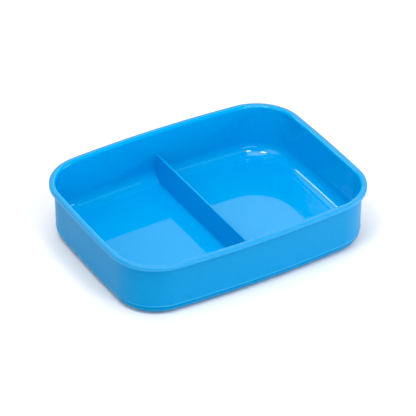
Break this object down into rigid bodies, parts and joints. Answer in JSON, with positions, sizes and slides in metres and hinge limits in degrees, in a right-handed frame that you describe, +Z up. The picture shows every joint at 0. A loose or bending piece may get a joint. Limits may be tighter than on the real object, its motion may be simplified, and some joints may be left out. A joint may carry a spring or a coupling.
{
  "type": "lunch box",
  "caption": "Shallow open moulded plastic food box with rounded corners, a flat turned-down rim and a lift-out plate that parts it into compartments.",
  "frame": {"origin": "middle of the underside, on the surface that the box stands on", "axes": "+X along the longer side, +Y across the box along the divider, +Z up out of the open top"},
  "size_m": [0.18, 0.1394, 0.0382],
  "materials": {
    "tray_plastic": "bright blue polypropylene, polished inside and on the rim, finely textured matte outside",
    "divider_plastic": "bright blue polypropylene, satin"
  },
  "bodies": {
    "tray": {"tray": "tray_plastic"},
    "divider": {"divider": "divider_plastic"}
  },
  "joints": [
    {"name": "divider_lift", "type": "slide", "parent": "tray", "child": "divider", "axis": [0, 0, 1], "range_m": [0, 0.045]}
  ]
}
